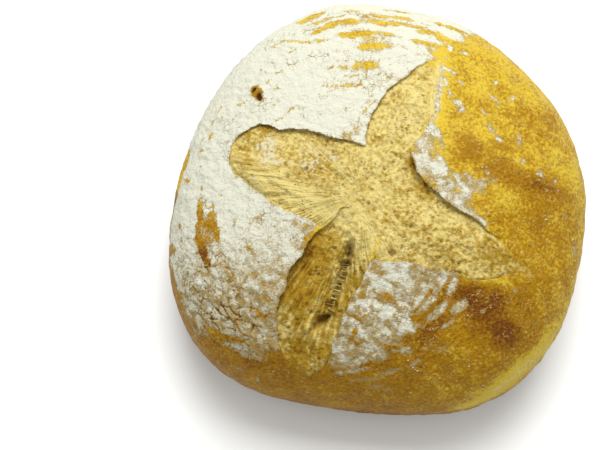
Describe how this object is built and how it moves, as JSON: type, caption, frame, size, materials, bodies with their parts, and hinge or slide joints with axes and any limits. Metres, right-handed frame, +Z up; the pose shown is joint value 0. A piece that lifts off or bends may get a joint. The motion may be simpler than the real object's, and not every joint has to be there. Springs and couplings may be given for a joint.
{
  "type": "country loaf",
  "caption": "Round hearth-baked loaf with a floured, scored crust that has torn open in a cross.",
  "frame": {"origin": "centre of the loaf's footprint, on the surface that it rests on", "axes": "+Z up through the crown; -Y towards the viewer of the picture, where the arm of the cross with the deep hollow points"},
  "size_m": [0.2352, 0.2395, 0.0969],
  "materials": {
    "crust": "matt golden baked crust, dusted with white flour, with paler crumb in the torn scores"
  },
  "bodies": {
    "root": {"loaf": "crust"}
  },
  "joints": []
}
